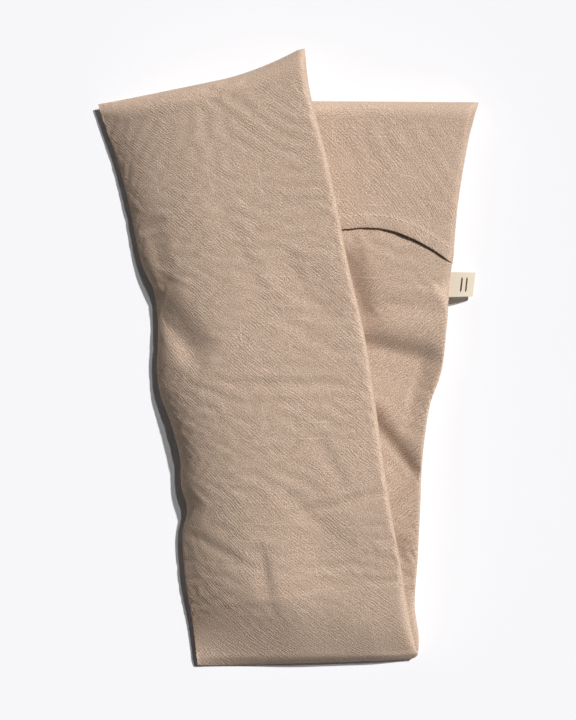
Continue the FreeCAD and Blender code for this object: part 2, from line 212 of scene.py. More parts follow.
# (start, end, depth, width on the left of the line, width on the right)
UPPER_VALLEYS = [
    ((-68, 28), (-50, 6), 3.0, 9.0, 7.0),
    ((-34, 78), (-14, 30), 0.22, 5.0, 8.0),
    ((0, 46), (14, 25), 0.6, 6.0, 8.0),
    ((15, 40), (23, 22), 0.35, 5.0, 5.0),
    ((-20, -13), (17, -12), 0.16, 4.0, 5.0),
    ((-2, 20), (22, 6), 0.3, 6.0, 6.0),
    ((16, -44), (30, -68), 0.35, 4.5, 6.0),
    ((10, -76), (44, -68), 0.35, 3.5, 6.0),
    ((-14, -98), (-5, -146), 0.6, 3.5, 6.0),
    ((-52, -88), (-22, -104), 0.35, 5.0, 6.0),
    ((2, -70), (26, -92), 0.3, 4.5, 5.5),
    ((-70, 66), (-63, 40), 1.0, 6.0, 5.0),
    ((52, -92), (60, -116), 1.0, 4.0, 4.0),
]
LOWER_VALLEYS = [
    ((28, 44), (35, 24), 4.2, 9.0, 12.0),
    ((30, 8), (66, -1), 5.0, 8.6, 40.0),
    ((42, -33), (62, -58), 3.8, 6.5, 34.0),
    ((55, -96), (64, -128), 2.4, 5.0, 6.0),
    ((50, 27), (72, 25), 0.8, 6.0, 6.0),
]


def creased(top, xy, valleys):
    """A top face with its creases taken off."""
    for line in valleys:
        top = top - valley(xy, *line)
    return top


def fold_half(lateral):
    """Half the height of the folded edge: lowest at its left, thin at its right end."""
    rising = 0.45 + 0.5 * smooth((lateral + 56) / 60)
    return FOLD_RADIUS * rising * (1 - 0.3 * smooth((lateral - 34) / 24))


# How steeply the pile rises from the fold, by the distance across it
FRONT_SLOPE = curve([(-56, 0.20), (-50, 0.24), (-30, 0.42), (-8, 0.52), (18, 0.54), (39, 0.70),
                     (56, 0.9)])
# Past that slope the pile rises more gently: its height there, and how fast it still grows
FULL_HEIGHT = curve([(-56, 26), (-8, 24), (18, 19), (39, 14), (56, 13)])
FULL_RISE = curve([(-56, 0.05), (-8, 0.08), (18, 0.14), (39, 0.26), (56, 0.28)])


def pile(v, lateral):
    """Height of both halves together near the fold: steep off the fold, then a long soft rise."""
    run = v - FOLD_RADIUS
    return lower_of(2 * fold_half(lateral) + FRONT_SLOPE(lateral) * run,
                    FULL_HEIGHT(lateral) + FULL_RISE(lateral) * run, 2.2)


def lower_top(v, lateral, xy):
    """Height of the lower half's top face, before it closes at its edges."""
    near_fold = 1 - smooth((v - 40) / 150)
    tilt = 0.04 + 0.13 * near_fold
    level = creased(LOWER_LEVEL + tilt * lateral - 3.5 * near_fold, xy, LOWER_VALLEYS)
    half = fold_half(lateral)
    top = lower_of(level, 0.5 * pile(v, lateral), 1.2)
    # At the fold it starts at the fold's own height, less the gap between the halves
    return top - FOLD_GAP * (1 - smooth((v - FOLD_RADIUS) / 20)) \
        + (half - lower_of(LOWER_LEVEL, half, 1.2)) * (1 - smooth((v - FOLD_RADIUS) / 30))


def upper_top(v, lateral, xy):
    """Height of the upper half's top face, before it closes at its edges."""
    # It rises to the right, falls away on the left of a ridge, and has a crown near the fold
    ridge = -16 + 12 * smooth((v - 140) / 120)
    away = np.maximum(ridge - lateral, 0)
    rounding = 0.16 + 0.02 * (1 - smooth((v - 60) / 70))
    level = UPPER_LEVEL - 0.004 * (v - 57) + 0.115 * lateral - rounding * away**2 / (ridge + 48)
    dome = np.exp(-((v - 72) / np.where(v < 72, 110, 180)) ** 2
                  - ((lateral - 2) / np.where(lateral < 2, 42, 75)) ** 2)
    level = level + CROWN * dome
    return lower_of(creased(level, xy, UPPER_VALLEYS), pile(v, lateral), 2.0)


def upper_bottom(v, lateral, xy):
    """Height of the upper half's underside: over the lower half, then down to the surface."""
    down_lower, across_lower = lower_coordinates(xy)
    cleared = np.maximum(lower_top(down_lower, np.clip(across_lower, -48, 48), xy), 4) + 1.0
    inside = across_lower - LOWER_LEFT(down_lower)
    held = smooth((inside + 15) / 30) * smooth((LOWER_LENGTH + 16 - down_lower) / 34)
    hanging = 1.6 + (cleared - 1.6) * held
    rise = smooth((v - FOLD_RADIUS) / 40)
    return (fold_half(lateral) + FOLD_GAP) * (1 - rise) + hanging * rise


# Places across a ring, from -1 at the left seam to 1 at the right one: closer near the seams
STEPS = np.linspace(-1, 1, COLUMNS + 1)
ACROSS = 0.25 * STEPS + 0.75 * np.sin(STEPS * math.pi / 2)


def grid(stations, left, right):
    """Distances along and across for every point of a half's rings."""
    v = np.repeat(stations[:, None], COLUMNS + 1, 1)
    lateral = left(v) + (right(v) - left(v)) * (ACROSS + 1) / 2
    return v, lateral, np.broadcast_to(ACROSS, v.shape)


def lower_half(stations):
    """Rings of the lower half: its front is underneath, and its back is the top face."""
    v, lateral, q = grid(stations, LOWER_LEFT, LOWER_RIGHT)
    xy = plan(v, lateral, LOWER_LEAN, LOWER_END_TURN, LOWER_LENGTH)
    to_end = LOWER_LENGTH - v
    near_fold = 1 - smooth((v - FOLD_RADIUS) / 40)
    top = lower_top(v, lateral, xy)
    # The seams: the right one is pulled up to the top face, except where the label holds it down
    from_label = (v - LABEL_DISTANCE) / LABEL_WIDTH
    pulled_up = smooth(q) * smooth(to_end / 30) * (1 - np.exp(-from_label ** 4))
    seam = LABEL_HEIGHT - 3.9 * smooth((v - 240) / 48)
    seam = seam + (np.maximum(top - 1.4, seam) - seam) * pulled_up
    seam = seam + (fold_half(lateral) * (1 - FOLD_SEAM_SHARE) - seam) * near_fold
    seam = np.minimum(seam, 0.62 * top + 0.30 * top * smooth(q))
    right_power = 70 - 30 * near_fold - 54 * np.exp(-from_label ** 2)
    under_power = 5 - 2 * near_fold
    full = side_profile(q, 8, right_power) * end_profile(to_end, 9)
    under = side_profile(q, under_power, under_power) * end_profile(to_end, 22)
    front = np.dstack([xy, seam * (1 - under) + UNDERSIDE * under])
    back = np.dstack([xy, seam + (top - seam) * full])
    return front, back


def upper_half(stations):
    """Rings of the upper half: its front is the top face, and its back lies on the lower half."""
    v, lateral, q = grid(stations, UPPER_LEFT, UPPER_RIGHT)
    tip = TIP_REACH * np.clip((lateral - 10) / 44, 0, 0.94) ** 1.8 * smooth((v - 235) / 65)
    xy = plan(v, lateral, UPPER_LEAN, 0.0, UPPER_LENGTH)
    xy = xy + tip[..., None] * rotate(UPPER_LEAN + 90)
    to_end = UPPER_LENGTH - v
    near_fold = 1 - smooth((v - FOLD_RADIUS) / 45)
    top = upper_top(v, lateral, xy)
    # The left seam lies low, near the surface, and the right one just under the top face
    left_seam = 4.4 - 0.6 * smooth((v - 130) / 110)
    right_seam = np.minimum(25.5 - 10.0 * smooth((v - 210) / 90), top - 1.2)
    seam = left_seam + (right_seam - left_seam) * smooth((q + 1) / 2)
    seam = seam + (fold_half(lateral) * (1 + FOLD_SEAM_SHARE) - seam) * near_fold
    under_power = 4.6 - 2 * near_fold
    full = side_profile(q, 12 - 4 * near_fold, 50 - 20 * near_fold) * end_profile(to_end, 11)
    under = side_profile(q, under_power, under_power) * end_profile(to_end, 26)
    front = np.dstack([xy, seam + (top - seam) * full])
    back = np.dstack([xy, seam + (upper_bottom(v, lateral, xy) - seam) * under])
    return front, back


def fold(turns):
    """Rings round the fold: the front on the outside, the back tight inside it."""
    q = np.broadcast_to(ACROSS, (len(turns), COLUMNS + 1))
    full = side_profile(q, 8, 30)
    angle = np.radians(turns)[:, None]
    rise = math.pi * (angle / math.pi) ** 1.5
    side = FOLD_HALF_WIDTH * q - FOLD_CORNER * np.maximum(q, 0) ** 8 * np.sin(angle) ** 4
    half = fold_half(FOLD_HALF_WIDTH * q)
    rows = []
    for share, reach in ((FOLD_SEAM_SHARE + (1 - FOLD_SEAM_SHARE) * full,
                          FOLD_SEAM_REACH + (1 - FOLD_SEAM_REACH) * full),
                         (FOLD_SEAM_SHARE - (FOLD_SEAM_SHARE - FOLD_GAP / half) * full,
                          FOLD_SEAM_REACH * (1 - full) + FOLD_GAP / FOLD_RADIUS * full)):
        v = FOLD_RADIUS - FOLD_RADIUS * reach * np.sin(angle)
        xy = FOLD_MIDDLE[:2] + side[..., None] * rotate(FOLD_ANGLE) \
            + v[..., None] * rotate(FOLD_ANGLE + 90)
        rows.append(np.dstack([xy, half * (1 - share * np.cos(rise))]))
    run = FOLD_RADIUS * (1 - np.sin(angle)) * smooth((angle - math.pi / 2) / (math.pi / 2))
    rows[0][..., 2] += FOLD_LEAN * full * (run - 0.5 * FOLD_RADIUS * (1 - np.cos(rise)))
    return rows[0], rows[1]


lower_stations = np.linspace(LOWER_LENGTH, FOLD_RADIUS,
                             int((LOWER_LENGTH - FOLD_RADIUS) / RING_STEP) + 1)
upper_stations = np.linspace(FOLD_RADIUS, UPPER_LENGTH,
                             int((UPPER_LENGTH - FOLD_RADIUS) / RING_STEP) + 1)
fold_turns = np.linspace(0, 180, FOLD_RINGS + 2)[1:-1]

parts = [lower_half(lower_stations), fold(fold_turns), upper_half(upper_stations)]
FRONT = np.concatenate([part[0] for part in parts])
BACK = np.concatenate([part[1] for part in parts])

fold_run = math.pi * FOLD_RADIUS
STRIP = np.concatenate([LOWER_LENGTH - lower_stations,
                        LOWER_LENGTH - FOLD_RADIUS + fold_run * fold_turns / 180,
                        LOWER_LENGTH - 2 * FOLD_RADIUS + fold_run + upper_stations])


def tube_mesh(name, front, back):
    """A closed mesh of both rows of every ring: rows share points along all four seams."""
    rings, columns = front.shape[:2]
    count = rings * columns
    index_front = np.arange(count).reshape(rings, columns)
    index_back = index_front.copy()
    inner = np.ones((rings, columns), bool)
    inner[[0, -1], :] = False
    inner[:, [0, -1]] = False
    index_back[inner] = count + np.arange(inner.sum())
    points = np.concatenate([front.reshape(-1, 3), back[inner]]) * MM
    faces = quads(index_front, False) + quads(index_back, True)
    mesh = bpy.data.meshes.new(name)
    mesh.from_pydata(points.tolist(), [], faces)
    mesh.update()
    return mesh, index_front, index_back


def quads(index, flip):
    """Faces of a grid of point numbers. They face up where rows run back and columns right."""
    a, b = index[:-1, :-1].ravel(), index[:-1, 1:].ravel()
    c, d = index[1:, 1:].ravel(), index[1:, :-1].ravel()
    faces = np.stack([a, d, c, b] if flip else [a, b, c, d], 1).tolist()
    # Corner faces split from the corner inwards, so that two joined grids never share one
    columns = index.shape[1] - 1
    for number, turn in ((0, 0), (columns - 1, 1), (len(faces) - columns, 1), (len(faces) - 1, 0)):
        corners = faces[number][turn:] + faces[number][:turn]
        faces[number] = corners[:3]
        faces.append([corners[0], corners[2], corners[3]])
    return faces


def new_object(name, mesh):
    piece = bpy.data.objects.new(name, mesh)
    bpy.context.scene.collection.objects.link(piece)
    return piece


# ---------------------------------------------------------------------------------------
# Cloth simulation: the cover is cut a little larger than its filling, so it goes slack
# ---------------------------------------------------------------------------------------

FRAMES = 22
SLACK = 0.004
MOST_MOVE = 0.5
# How firmly points are held, from 0 to 1: fully near the fold, least away from it, more at seams
LOOSENED = 0.75
FIRM_REACH, LOOSE_AFTER = 8, 36
SEAM_HOLD = 0.7


def slackened(front, back, strip):
    """Both rows of every ring, after the cloth has settled on its filling."""
    mesh, index_front, index_back = tube_mesh("settling", front, back)
    cover = new_object("settling", mesh)
    held = cover.vertex_groups.new(name="held")
    weights = np.empty(len(mesh.vertices))
    from_fold = smooth((np.abs(strip - LOWER_LENGTH) - FIRM_REACH) / LOOSE_AFTER)
    hold = (1.0 - LOOSENED * from_fold)[:, None] * np.ones(COLUMNS + 1)
    hold[[0, -1], :] = 1.0
    hold[:, [0, -1]] = np.maximum(hold[:, [0, -1]], SEAM_HOLD)
    weights[index_back] = hold
    weights[index_front] = hold
    for number, weight in enumerate(weights):
        held.add([number], float(weight), "REPLACE")
    cloth = cover.modifiers.new("Cloth", "CLOTH")
    cloth.settings.quality = 5
    cloth.settings.mass = 0.1
    cloth.settings.tension_stiffness = 15
    cloth.settings.compression_stiffness = 15
    cloth.settings.shear_stiffness = 4
    cloth.settings.bending_stiffness = 3.0
    cloth.settings.vertex_group_mass = "held"
    cloth.settings.pin_stiffness = 1.0
    cloth.settings.shrink_min = -SLACK
    cloth.settings.use_pressure = True
    cloth.settings.uniform_pressure_force = 0.6
    cloth.settings.effector_weights.gravity = 0
    cloth.collision_settings.use_collision = False
    cloth.collision_settings.use_self_collision = False
    cloth.point_cache.frame_start = 1
    cloth.point_cache.frame_end = FRAMES
    scene = bpy.context.scene
    for frame_number in range(1, FRAMES + 1):
        scene.frame_set(frame_number)
    settled = cover.evaluated_get(bpy.context.evaluated_depsgraph_get()).to_mesh()
    before = np.array([v.co for v in mesh.vertices]) / MM
    after = np.array([v.co for v in settled.vertices]) / MM
    scene.frame_set(1)
    bpy.data.objects.remove(cover)
    move = after - before
    far = np.maximum(np.linalg.norm(move, axis=1, keepdims=True), 1e-9)
    after = before + move * MOST_MOVE * np.tanh(far / MOST_MOVE) / far
    after[:, 2] = np.maximum(after[:, 2], UNDERSIDE)
    return after[index_front], after[index_back]


FRONT, BACK = slackened(FRONT, BACK, STRIP)


# ---------------------------------------------------------------------------------------
# Grids of points: finer ones, their normals, and meshes made from them
# ---------------------------------------------------------------------------------------

def finer(rows):
    """More points between those of a grid, on smooth curves through them."""
    for axis in (0, 1):
        rows = np.moveaxis(rows, axis, 0)
        longer = np.concatenate([2 * rows[:1] - rows[1:2], rows, 2 * rows[-1:] - rows[-2:-1]])
        before, start, end, after = longer[:-3], longer[1:-2], longer[2:-1], longer[3:]
        out = np.empty((FINER * (len(rows) - 1) + 1, *rows.shape[1:]))
        for step in range(FINER):
            t = step / FINER
            out[step:-1:FINER] = 0.5 * (2 * start + (end - before) * t
                                        + (2 * before - 5 * start + 4 * end - after) * t**2
                                        + (3 * start - before - 3 * end + after) * t**3)
        out[-1] = rows[-1]
        rows = np.moveaxis(out, 0, axis)
    return rows


def grid_normals(points, flip):
    """Outward directions at the points of a grid."""
    normals = np.cross(np.gradient(points, axis=1), np.gradient(points, axis=0))
    normals /= np.maximum(np.linalg.norm(normals, axis=2, keepdims=True), 1e-9)
    return -normals if flip else normals


def laid_flat(points, layer):
    """Distances across and along the cloth of a grid, from its middle, and its layer's number."""
    flat = np.full(points.shape, layer)
    for axis, part in ((1, 0), (0, 1)):
        steps = np.linalg.norm(np.diff(points, axis=axis), axis=2)
        run = np.insert(np.cumsum(steps, axis=axis), 0, 0, axis=axis)
        flat[..., part] = run - np.take(run, [run.shape[axis] // 2], axis=axis)
    return flat


def cloth_grid(name, points, normals, weave, flip):
    """A sheet of cloth from a grid, with its weave's distances across and along, millimetres."""
    mesh = bpy.data.meshes.new(name)
    index = np.arange(points.shape[0] * points.shape[1]).reshape(points.shape[:2])
    mesh.from_pydata((points.reshape(-1, 3) * MM).tolist(), [], quads(index, flip))
    return finished(name, mesh, weave.reshape(-1, 3), normals.reshape(-1, 3))


def closed_piece(name, over, under, weave):
    """A closed piece from the grids of its two faces, which meet at their edges."""
    mesh, index_over, index_under = tube_mesh(name, over, under)
    all_weave = np.empty((len(mesh.vertices), 3))
    normals = np.empty((len(mesh.vertices), 3))
    for index, points, flip in ((index_under, under, True), (index_over, over, False)):
        all_weave[index] = weave
        normals[index] = grid_normals(points, flip)
    return finished(name, mesh, all_weave, normals)


def finished(name, mesh, weave, normals=None):
    """The object of a mesh, which carries its weave's distances and its own normals."""
    attribute = mesh.attributes.new("weave", "FLOAT_VECTOR", "POINT")
    attribute.data.foreach_set("vector", np.ascontiguousarray(weave, np.float32).ravel())
    mesh.shade_smooth()
    if normals is not None:
        mesh.normals_split_custom_set_from_vertices(normals.tolist())
    mesh.update()
    return new_object(name, mesh)


ROD_SIDES = 6


def rod(points, ups, across, up):
    """Vertices and faces of a bar along a path, with two half sizes, thinner at its ends."""
    points, ups = np.asarray(points, float), np.asarray(ups, float)
    along = np.gradient(points, axis=0)
    aside = np.cross(along, ups)
    aside /= np.linalg.norm(aside, axis=1, keepdims=True)
    over = np.cross(aside, along)
    over /= np.linalg.norm(over, axis=1, keepdims=True)
    turns = np.arange(ROD_SIDES) * 2 * math.pi / ROD_SIDES
    size = np.ones(len(points))
    size[[0, -1]] = 0.35
    rings = points[:, None] + size[:, None, None] * (
        aside[:, None] * (across * np.cos(turns))[:, None]
        + over[:, None] * (up * np.sin(turns))[:, None])
    index = np.arange(len(points) * ROD_SIDES).reshape(len(points), ROD_SIDES)
    around = np.roll(index, -1, axis=1)
    walls = np.stack([index[:-1], around[:-1], around[1:], index[1:]], 2).reshape(-1, 4)
    ends = [list(index[0][::-1]), list(index[-1])]
    return rings.reshape(-1, 3), walls.tolist() + ends


def rods_piece(name, rods):
    """One piece from many bars of thread."""
    points, faces, start = [], [], 0
    for some, walls in rods:
        points.append(some)
        faces += [[number + start for number in face] for face in walls]
        start += len(some)
    points = np.concatenate(points)
    mesh = bpy.data.meshes.new(name)
    mesh.from_pydata((points * MM).tolist(), [], faces)
    return finished(name, mesh, points)


# ---------------------------------------------------------------------------------------
# Materials
# ---------------------------------------------------------------------------------------

class Finish:
    """A material, and the few kinds of node that it is built from."""

    def __init__(self, name, roughness, sheen=0.0, specular=0.18):
        self.material = bpy.data.materials.new(name)
        self.material.use_nodes = True
        self.tree = self.material.node_tree
        self.shader = self.tree.nodes["Principled BSDF"]
        self.shader.inputs["Roughness"].default_value = roughness
        self.shader.inputs["Sheen Weight"].default_value = sheen
        self.shader.inputs["Sheen Roughness"].default_value = 0.5
        self.shader.inputs["Specular IOR Level"].default_value = specular

    def node(self, kind, **inputs):
        made = self.tree.nodes.new(kind)
        for key, value in inputs.items():
            self.feed(made.inputs[key.replace("_", " ")], value)
        return made

    def feed(self, socket, value):
        if isinstance(value, bpy.types.NodeSocket):
            self.tree.links.new(value, socket)
        else:
            socket.default_value = value

    def place(self):
        """Distances across and along the cloth, millimetres."""
        made = self.node("ShaderNodeAttribute")
        made.attribute_name = "weave"
        return made.outputs["Vector"]

    def scaled(self, vector, factors):
        made = self.node("ShaderNodeVectorMath")
        made.operation = "MULTIPLY"
        self.feed(made.inputs[0], vector)
        made.inputs[1].default_value = factors
        return made.outputs["Vector"]

    def noise(self, vector, detail=2.0, rough=0.5):
        made = self.node("ShaderNodeTexNoise", Vector=vector, Scale=1.0, Detail=detail)
        made.inputs["Roughness"].default_value = rough
        return made.outputs["Fac"]

    def cells(self, vector):
        return self.node("ShaderNodeTexVoronoi", Vector=vector, Scale=1.0).outputs["Distance"]

    def maths(self, operation, a, b=0.0, c=0.0):
        made = self.node("ShaderNodeMath")
        made.operation = operation
        for socket, value in zip(made.inputs, (a, b, c)):
            self.feed(socket, value)
        return made.outputs[0]

    def ranged(self, value, low, high, to_low, to_high):
        made = self.node("ShaderNodeMapRange")
        for socket, number in zip(list(made.inputs)[:5], (value, low, high, to_low, to_high)):
            self.feed(socket, number)
        return made.outputs["Result"]

    def ramp(self, value, stops):
        made = self.node("ShaderNodeValToRGB", Fac=value)
        elements = made.color_ramp.elements
        while len(elements) < len(stops):
            elements.new(0.5)
        for element, (at, colour) in zip(elements, stops):
            element.position = at
            element.color = (*colour, 1)
        return made.outputs["Color"]

    def colour(self, socket):
        self.feed(self.shader.inputs["Base Color"], socket)
        return self

    def rough(self, socket):
        self.feed(self.shader.inputs["Roughness"], socket)
        return self

    def bump(self, height, distance):
        made = self.node("ShaderNodeBump", Height=height, Distance=distance * MM, Strength=1.0)
        self.feed(self.shader.inputs["Normal"], made.outputs["Normal"])
        return self


def woven(name, pitch, darkest, middle, lightest, flecks, ripple, roughness, sheen, relief):
    """Plain-woven cloth: uneven threads both ways, a slanting ripple, small flecks and slubs."""
    finish = Finish(name, roughness, sheen)
    place = finish.place()
    warp = finish.noise(finish.scaled(place, (1 / pitch, 1 / 5, 0)), 3.0, 0.62)
    weft = finish.noise(finish.scaled(place, (1 / 5, 1 / pitch, 3.0)), 3.0, 0.62)
    threads = finish.maths("ADD", warp, weft)
    split = finish.node("ShaderNodeSeparateXYZ", Vector=place)
    slant = finish.node("ShaderNodeCombineXYZ",
                        X=finish.maths("ADD", split.outputs["X"], split.outputs["Y"]),
                        Y=finish.maths("SUBTRACT", split.outputs["X"], split.outputs["Y"]))
    slant_parts = finish.node("ShaderNodeSeparateXYZ", Vector=slant.outputs["Vector"])
    wander = finish.noise(finish.scaled(slant.outputs["Vector"], (0.28, 0.12, 0)), 1.0)
    turn = finish.maths("MULTIPLY_ADD", slant_parts.outputs["X"], 2 * math.pi / (3.2 * pitch),
                        finish.maths("MULTIPLY", wander, 14.0))
    share = finish.ranged(finish.noise(finish.scaled(place, (1 / 18, 1 / 24, 4.0)), 1.0),
                          0.35, 0.6, 0.25, 1.0)
    ripples = finish.maths("MULTIPLY", finish.maths("SINE", turn), share)
    fibre = finish.noise(finish.scaled(place, (1.3 / pitch, 1.2 / pitch, 5.0)), 1.0)
    slubs = finish.maths("MAXIMUM",
                         finish.noise(finish.scaled(place, (1 / (1.6 * pitch), 1 / 40, 7.0)), 1.0),
                         finish.noise(finish.scaled(place, (1 / 34, 1 / (1.6 * pitch), 9.0)), 1.0))
    slub = finish.ranged(slubs, 0.66, 0.78, 0.0, 0.12)
    mottle = finish.noise(finish.scaled(place, (1 / 22, 1 / 26, 1.0)), 2.0)
    tone = finish.maths("MULTIPLY_ADD", threads, 0.35 * flecks, 0.5 - 0.35 * flecks)
    tone = finish.maths("MULTIPLY_ADD", ripples, ripple, tone)
    tone = finish.maths("MULTIPLY_ADD", fibre, 2 * flecks, finish.maths("SUBTRACT", tone, flecks))
    tone = finish.maths("ADD", tone, slub)
    tone = finish.maths("MULTIPLY_ADD", mottle, 0.08, finish.maths("SUBTRACT", tone, 0.04))
    finish.colour(finish.ramp(tone, [(0.12, darkest), (0.5, middle), (0.92, lightest)]))
    height = finish.maths("MULTIPLY_ADD", threads, 0.4, fibre)
    height = finish.maths("MULTIPLY_ADD", ripples, 0.25, height)
    height = finish.maths("MULTIPLY_ADD", slub, 2.0, height)
    finish.bump(height, relief)
    finish.rough(finish.ranged(threads, 0.7, 1.3, roughness + 0.06, roughness - 0.06))
    return finish.material


def spun(name, dark, light):
    """Sewing thread: two plies twisted together."""
    finish = Finish(name, 0.6, 0.2)
    place = finish.place()
    twist = finish.node("ShaderNodeTexWave", Vector=finish.scaled(place, (1.2, 1.2, 1.2)), Scale=1.0)
    finish.colour(finish.ramp(twist.outputs["Fac"], [(0.2, dark), (0.8, light)]))
    finish.bump(twist.outputs["Fac"], 0.05)
    return finish.material


def seeds():
    """Flax seeds: small brown grains lying every way, with painted shade in the gaps between them."""
    finish = Finish("seeds", 0.4)
    grains = finish.cells(finish.scaled(finish.place(), (0.42, 0.3, 0.42)))
    # Painted shade: each grain is coloured darker towards its edge, darkest in the gaps between grains
    finish.colour(finish.ramp(grains, [(0.1, (0.16, 0.07, 0.03)), (0.6, (0.05, 0.02, 0.01))]))
    finish.bump(finish.maths("SUBTRACT", 1.0, grains), 0.8)
    return finish.material


LINEN = woven("linen", 0.62, (0.215, 0.134, 0.090), (0.53, 0.384, 0.288), (0.89, 0.73, 0.59),
              0.58, 0.08, 0.9, 0.03, 0.16)
COTTON = woven("cotton", 0.4, (0.52, 0.50, 0.45), (0.68, 0.65, 0.59), (0.8, 0.78, 0.72),
               0.4, 0.03, 0.88, 0.1, 0.06)
RIBBON = woven("ribbon", 0.3, (0.52, 0.44, 0.34), (0.66, 0.57, 0.45), (0.76, 0.68, 0.56),
               0.3, 0.03, 0.7, 0.2, 0.05)
THREAD = spun("thread", (0.70, 0.60, 0.50), (0.92, 0.84, 0.75))
MARK = spun("mark", (0.07, 0.04, 0.02), (0.13, 0.08, 0.05))
SEEDS = seeds()


def dressed(piece, material):
    """A piece with its material."""
    piece.data.materials.append(material)
    return piece


# ---------------------------------------------------------------------------------------
# Cover, insert, seeds and seams: each cut in three where the pillow bends
# ---------------------------------------------------------------------------------------

fine_strip = finer(STRIP[:, None] + np.zeros(COLUMNS + 1))[:, 0]
fine_front, fine_back = finer(FRONT), finer(BACK)
for rows in (fine_front, fine_back):
    rows[..., 2] = np.maximum(rows[..., 2], 0.5 * UNDERSIDE)
fine_across = finer(np.broadcast_to(ACROSS, FRONT.shape[:2])[..., None])[0, :, 0]
front_normals = grid_normals(fine_front, False)
back_normals = grid_normals(fine_back, True)
FRONT_LAYER, BACK_LAYER, FLAP_LAYER = 0.0, 9.0, 5.0
front_weave, back_weave = laid_flat(fine_front, FRONT_LAYER), laid_flat(fine_back, BACK_LAYER)

FOLD_MIDDLE_RING = FINER * (len(lower_stations) + FOLD_RINGS // 2)
# The slope's cloth, from the fold's middle to where the upper half levels out
SLOPE_LENGTH = 29
SLOPE_RING = int(np.argmin(np.abs(fine_strip - fine_strip[FOLD_MIDDLE_RING] - SLOPE_LENGTH)))
# The back panel ends at the mouth, under the flap
MOUTH_DISTANCE = 256
MOUTH_RING = int(np.argmin(np.abs(fine_strip - (LOWER_LENGTH - MOUTH_DISTANCE))))

fold_out = np.append(rotate(FOLD_ANGLE + 90), 0)
fold_start = np.append(FOLD_MIDDLE[:2], 0)
flex = place_of("upper_flex")
flex_out = np.append(rotate(UPPER_LEAN + 90), 0)
# The cloth bends between these distances from the fold, and this far either side of the flex
FOLD_BEND = 5.2, 15
FLEX_BEND = 20

# Each stretch: its first and last ring, the bodies that it bends between, where it starts and ends
STRETCHES = {
    "lower": (0, FOLD_MIDDLE_RING, "lower_half", "fold",
              fold_start + FOLD_BEND[1] * fold_out, fold_start + FOLD_BEND[0] * fold_out),
    "slope": (FOLD_MIDDLE_RING, SLOPE_RING, "fold", "upper_slope",
              fold_start + FOLD_BEND[0] * fold_out, fold_start + FOLD_BEND[1] * fold_out),
    "upper": (SLOPE_RING, len(fine_strip) - 1, "upper_slope", "upper_half",
              flex - FLEX_BEND * flex_out, flex + FLEX_BEND * flex_out),
}


def bent(piece):
    """The piece, with its placement baked into its mesh."""
    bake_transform(piece)
    return piece


def nodes(kind, stretch):
    """The CAD nodes that a piece of a stretch stands for."""
    if stretch != "slope":
        return [f"{kind}_{stretch}"]
    turned = {"front_panel": "front_panel_fold", "back_panel": "back_panel_fold",
              "insert_back": "insert_fold"}
    return [f"{kind}_slope"] + ([turned[kind]] if kind in turned else [])


def nested(depth, rows, inset):
    """Front and back grids of a layer inside the cover, narrower by some columns."""
    first, last = rows
    front, back = fine_front[first:last + 1:2, ::2], fine_back[first:last + 1:2, ::2]
    middle = (front + back) / 2
    reach = (front - back) / 2
    thick = np.linalg.norm(reach, axis=2, keepdims=True)
    share = np.clip(1 - depth / np.maximum(thick, 1e-6), 0.08, 1)
    front, back, middle = (each[:, inset:-inset] for each in
                           (middle + reach * share, middle - reach * share, middle))
    front, back = front.copy(), back.copy()
    for layer in (front, back):
        layer[:, [0, -1]] = middle[:, [0, -1]]
    weave = back_weave[first:last + 1:2, ::2][:, inset:-inset]
    return front, back, weave


# The layers inside: how deep each lies, and how many columns narrower it is than the cover
INSERT_DEPTH, INSERT_INSET = 1.2, 2
FILL_DEPTH, FILL_INSET = 2.0, 3
# The layers inside stop this many rings short of the cover's far ends
END_ROOM = 4
# How tightly the pillow is filled, from 0, slack, to 1
SIDE_THREAD, END_THREAD = (0.25, 0.12), (0.12, 0.2)
# Where the seams' threads lie: this many columns and rings in from the edges
SEAM_COLUMN, SEAM_RING, SEAM_END = 2, 3, 4

for stretch, (first, last, *_) in STRETCHES.items():
    start = MOUTH_RING if stretch == "lower" else first
    for kind, points, normals, weave, low, flip in (
            ("front_panel", fine_front, front_normals, front_weave, first, False),
            ("back_panel", fine_back, back_normals, back_weave, start, True)):
        rows = slice(low, last + 1)
        piece = cloth_grid(f"{kind}_{stretch}_cloth", points[rows], normals[rows], weave[rows], flip)
        dressed(piece, LINEN)
        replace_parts(bent(piece), *nodes(kind, stretch))
    inner = (first + (first == 0) * END_ROOM, last - (last == len(fine_strip) - 1) * END_ROOM)
    front, back, weave = nested(INSERT_DEPTH, inner, INSERT_INSET)
    for kind, points, flip in (("insert_front", front, False), ("insert_back", back, True)):
        piece = cloth_grid(f"{kind}_{stretch}_cotton", points, grid_normals(points, flip), weave, flip)
        dressed(piece, COTTON)
        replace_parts(bent(piece), *nodes(kind, stretch))
    front, back, _ = nested(FILL_DEPTH, inner, FILL_INSET)
    mesh, _, _ = tube_mesh(f"seed_fill_{stretch}_seeds", front, back)
    fill = finished(mesh.name, mesh, np.array([v.co for v in mesh.vertices]) / MM)
    dressed(fill, SEEDS)
    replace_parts(bent(fill), f"seed_fill_{stretch}")
    middle = (fine_front[inner[0]:inner[1] + 1] + fine_back[inner[0]:inner[1] + 1]) / 2
    for side, column in (("left", SEAM_COLUMN), ("right", -1 - SEAM_COLUMN)):
        path = middle[:, column]
        seam = rods_piece(f"side_seam_{side}_{stretch}_thread",
                          [rod(path, np.tile((0, 0, 1.0), (len(path), 1)), *SIDE_THREAD)])
        dressed(seam, THREAD)
        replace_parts(bent(seam), f"side_seam_{side}_{stretch}")

